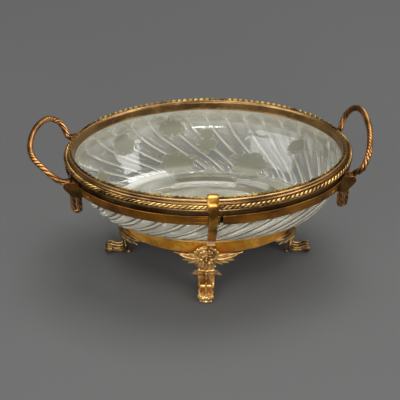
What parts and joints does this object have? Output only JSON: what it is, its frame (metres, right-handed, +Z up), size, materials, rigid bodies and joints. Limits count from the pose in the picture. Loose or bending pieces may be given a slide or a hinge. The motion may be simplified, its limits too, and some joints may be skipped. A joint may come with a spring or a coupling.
{
  "type": "handled glass bowl",
  "caption": "Oval cut-glass bowl held in a gilt brass mount: toothed and roped rim, flared band, dish on scroll feet with masks, a front strap and swinging rope handles.",
  "frame": {"origin": "on the floor under the middle of the whole outline, handles included", "axes": "+X along the bowl's length towards the right handle, +Y towards the back, +Z up from the soles of the feet"},
  "size_m": [0.3538, 0.2094, 0.1726],
  "materials": {
    "cut_glass": "clear cut glass, frosted engraving inside",
    "gilt_brass": "aged gilding, satin, darker in the recesses",
    "band_brass": "brown patina, satin",
    "tooth_brass": "aged gilding, small bright edges",
    "handle_rope": "copper-brown patina, polished crests",
    "rope_end_brass": "copper-brown patina",
    "dark_brass": "dark patina",
    "cast_gilt_brass": "cast, gilt crests and dark recesses",
    "dish_brass": "aged gilding, satin",
    "fixing_steel": "plain steel"
  },
  "bodies": {
    "bowl": {"band_clasp": "band_brass", "band_rivet_1": "band_brass", "band_rivet_2": "band_brass", "band_rivet_3": "band_brass", "band_rivet_4": "band_brass", "dish": "dish_brass", "dish_floor": "dish_brass", "foot_back": "cast_gilt_brass", "foot_front": "cast_gilt_brass", "foot_left": "cast_gilt_brass", "foot_nut_back": "fixing_steel", "foot_nut_front": "fixing_steel", "foot_nut_left": "fixing_steel", "foot_nut_right": "fixing_steel", "foot_right": "cast_gilt_brass", "foot_screw_back": "fixing_steel", "foot_screw_front": "fixing_steel", "foot_screw_left": "fixing_steel", "foot_screw_right": "fixing_steel", "front_strap": "gilt_brass", "glass_bowl": "cut_glass", "hinge_pin_left_back": "dark_brass", "hinge_pin_left_front": "dark_brass", "hinge_pin_right_back": "dark_brass", "hinge_pin_right_front": "dark_brass", "lug_left_back": "dark_brass", "lug_left_front": "dark_brass", "lug_right_back": "dark_brass", "lug_right_front": "dark_brass", "rim_band": "band_brass", "rim_collar": "gilt_brass", "rope_end_left_back": "rope_end_brass", "rope_end_left_front": "rope_end_brass", "rope_end_right_back": "rope_end_brass", "rope_end_right_front": "rope_end_brass", "rope_moulding": "gilt_brass", "tooth_strip": "tooth_brass"},
    "left_rope_handle": {"handle_left": "handle_rope"},
    "right_rope_handle": {"handle_right": "handle_rope"}
  },
  "joints": [
    {"name": "left_handle_swing", "type": "hinge", "parent": "bowl", "child": "left_rope_handle", "pos_m": [-0.13447, 0, 0.126], "axis": [0, 1, 0], "range_deg": [-55, 65]},
    {"name": "right_handle_swing", "type": "hinge", "parent": "bowl", "child": "right_rope_handle", "pos_m": [0.15453, 0, 0.126], "axis": [0, 1, 0], "range_deg": [-33, 87]}
  ]
}
